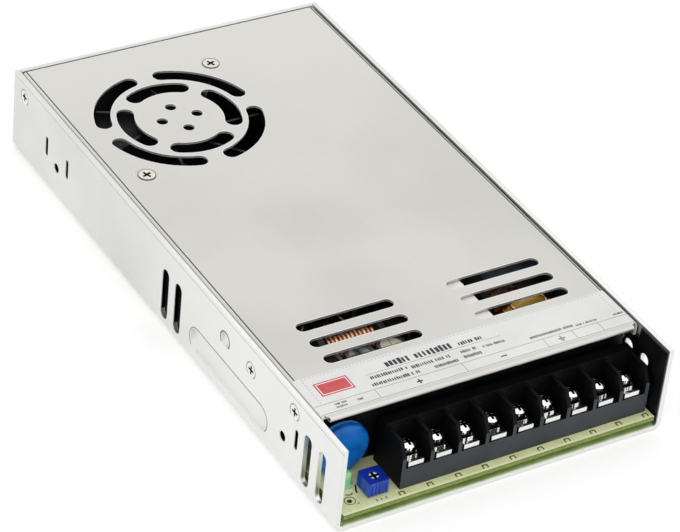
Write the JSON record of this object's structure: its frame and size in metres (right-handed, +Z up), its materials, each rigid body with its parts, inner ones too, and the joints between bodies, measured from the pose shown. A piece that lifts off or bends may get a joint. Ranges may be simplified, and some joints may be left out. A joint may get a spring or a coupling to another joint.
{
  "type": "enclosed switching power supply",
  "caption": "Flat folded-metal power supply with a slotted top cover, round fan grille, vented side walls and a front barrier terminal strip on an open board edge.",
  "frame": {"origin": "middle of the case's footprint, on the surface it stands on", "axes": "+Z up, +Y from the terminal end towards the rear, +X to the right seen from the terminals"},
  "size_m": [0.115, 0.215, 0.03],
  "materials": {
    "tray_metal": "bare folded sheet, fine satin",
    "cover_metal": "bare sheet, warm light grey satin",
    "pale_film": "matt",
    "black_film": "satin",
    "green_film": "clear green, glossy",
    "board": "pale yellow-green lacquer",
    "plated_steel": "bright nickel plating",
    "black_plastic": "moulded, satin",
    "tin_plate": "bright tin",
    "trimmer_blue": "moulded",
    "white_plastic": "moulded",
    "green_lens": "translucent",
    "disc_blue": "dipped coating",
    "fan_black": "moulded",
    "winding_copper": "lacquered copper wire",
    "bar_aluminium": "satin",
    "epoxy_black": "moulded",
    "ferrite": "sintered",
    "yellow_tape": "tape",
    "sleeve_black": "shrunk sleeve",
    "sleeve_brown": "shrunk sleeve",
    "film_grey": "moulded box",
    "board_green": "lacquer",
    "ceramic": "glazed",
    "epoxy_green": "dipped coating"
  },
  "bodies": {
    "case": {"chassis": "tray_metal", "top_cover": "cover_metal", "air_baffle": "pale_film", "side_insulator": "black_film", "terminal_shield": "black_film", "board_film": "green_film", "fan_film": "black_film", "main_pcb": "board", "pcb_standoffs": "plated_steel", "pcb_screws": "plated_steel", "terminal_block": "black_plastic", "terminal_plates": "tin_plate", "terminal_washers": "tin_plate", "terminal_screws": "plated_steel", "trimmer_body": "trimmer_blue", "status_lamp": "green_lens", "blue_disc": "disc_blue", "fan_frame": "black_plastic", "fan_stator": "winding_copper", "fan_screws": "plated_steel", "cover_screws": "plated_steel", "heatsink_screws": "plated_steel", "left_heatsink": "bar_aluminium", "right_heatsink": "bar_aluminium", "transistor_bodies": "epoxy_black", "transistor_leads": "tin_plate", "bridge_rectifier": "epoxy_black", "transformer_core": "ferrite", "transformer_winding": "yellow_tape", "drum_choke_core": "ferrite", "drum_choke_winding": "winding_copper", "boost_choke_core": "ferrite", "boost_choke_winding": "winding_copper", "line_choke_core": "yellow_tape", "line_choke_winding": "winding_copper", "filter_choke_body": "epoxy_black", "filter_choke_winding": "winding_copper", "bulk_capacitor": "sleeve_black", "output_capacitor_cans": "bar_aluminium", "output_capacitor_sleeves": "sleeve_brown", "film_capacitor": "film_grey", "control_board": "board_green", "optocouplers": "epoxy_black", "relay": "epoxy_black", "fuse_tube": "ceramic", "fuse_clips": "tin_plate", "thermistor": "epoxy_green"},
    "fan_wheel": {"fan_rotor": "fan_black"},
    "adjuster": {"trimmer_adjuster": "white_plastic"}
  },
  "joints": [
    {"name": "fan_spin", "type": "hinge", "parent": "case", "child": "fan_wheel", "pos_m": [-0.02, 0.062, 0.0215], "axis": [0, 0, 1], "continuous": true},
    {"name": "trimmer_turn", "type": "hinge", "parent": "case", "child": "adjuster", "pos_m": [-0.0412, -0.1002, 0.0095], "axis": [0, 0, 1], "range_deg": [-130, 130]}
  ]
}
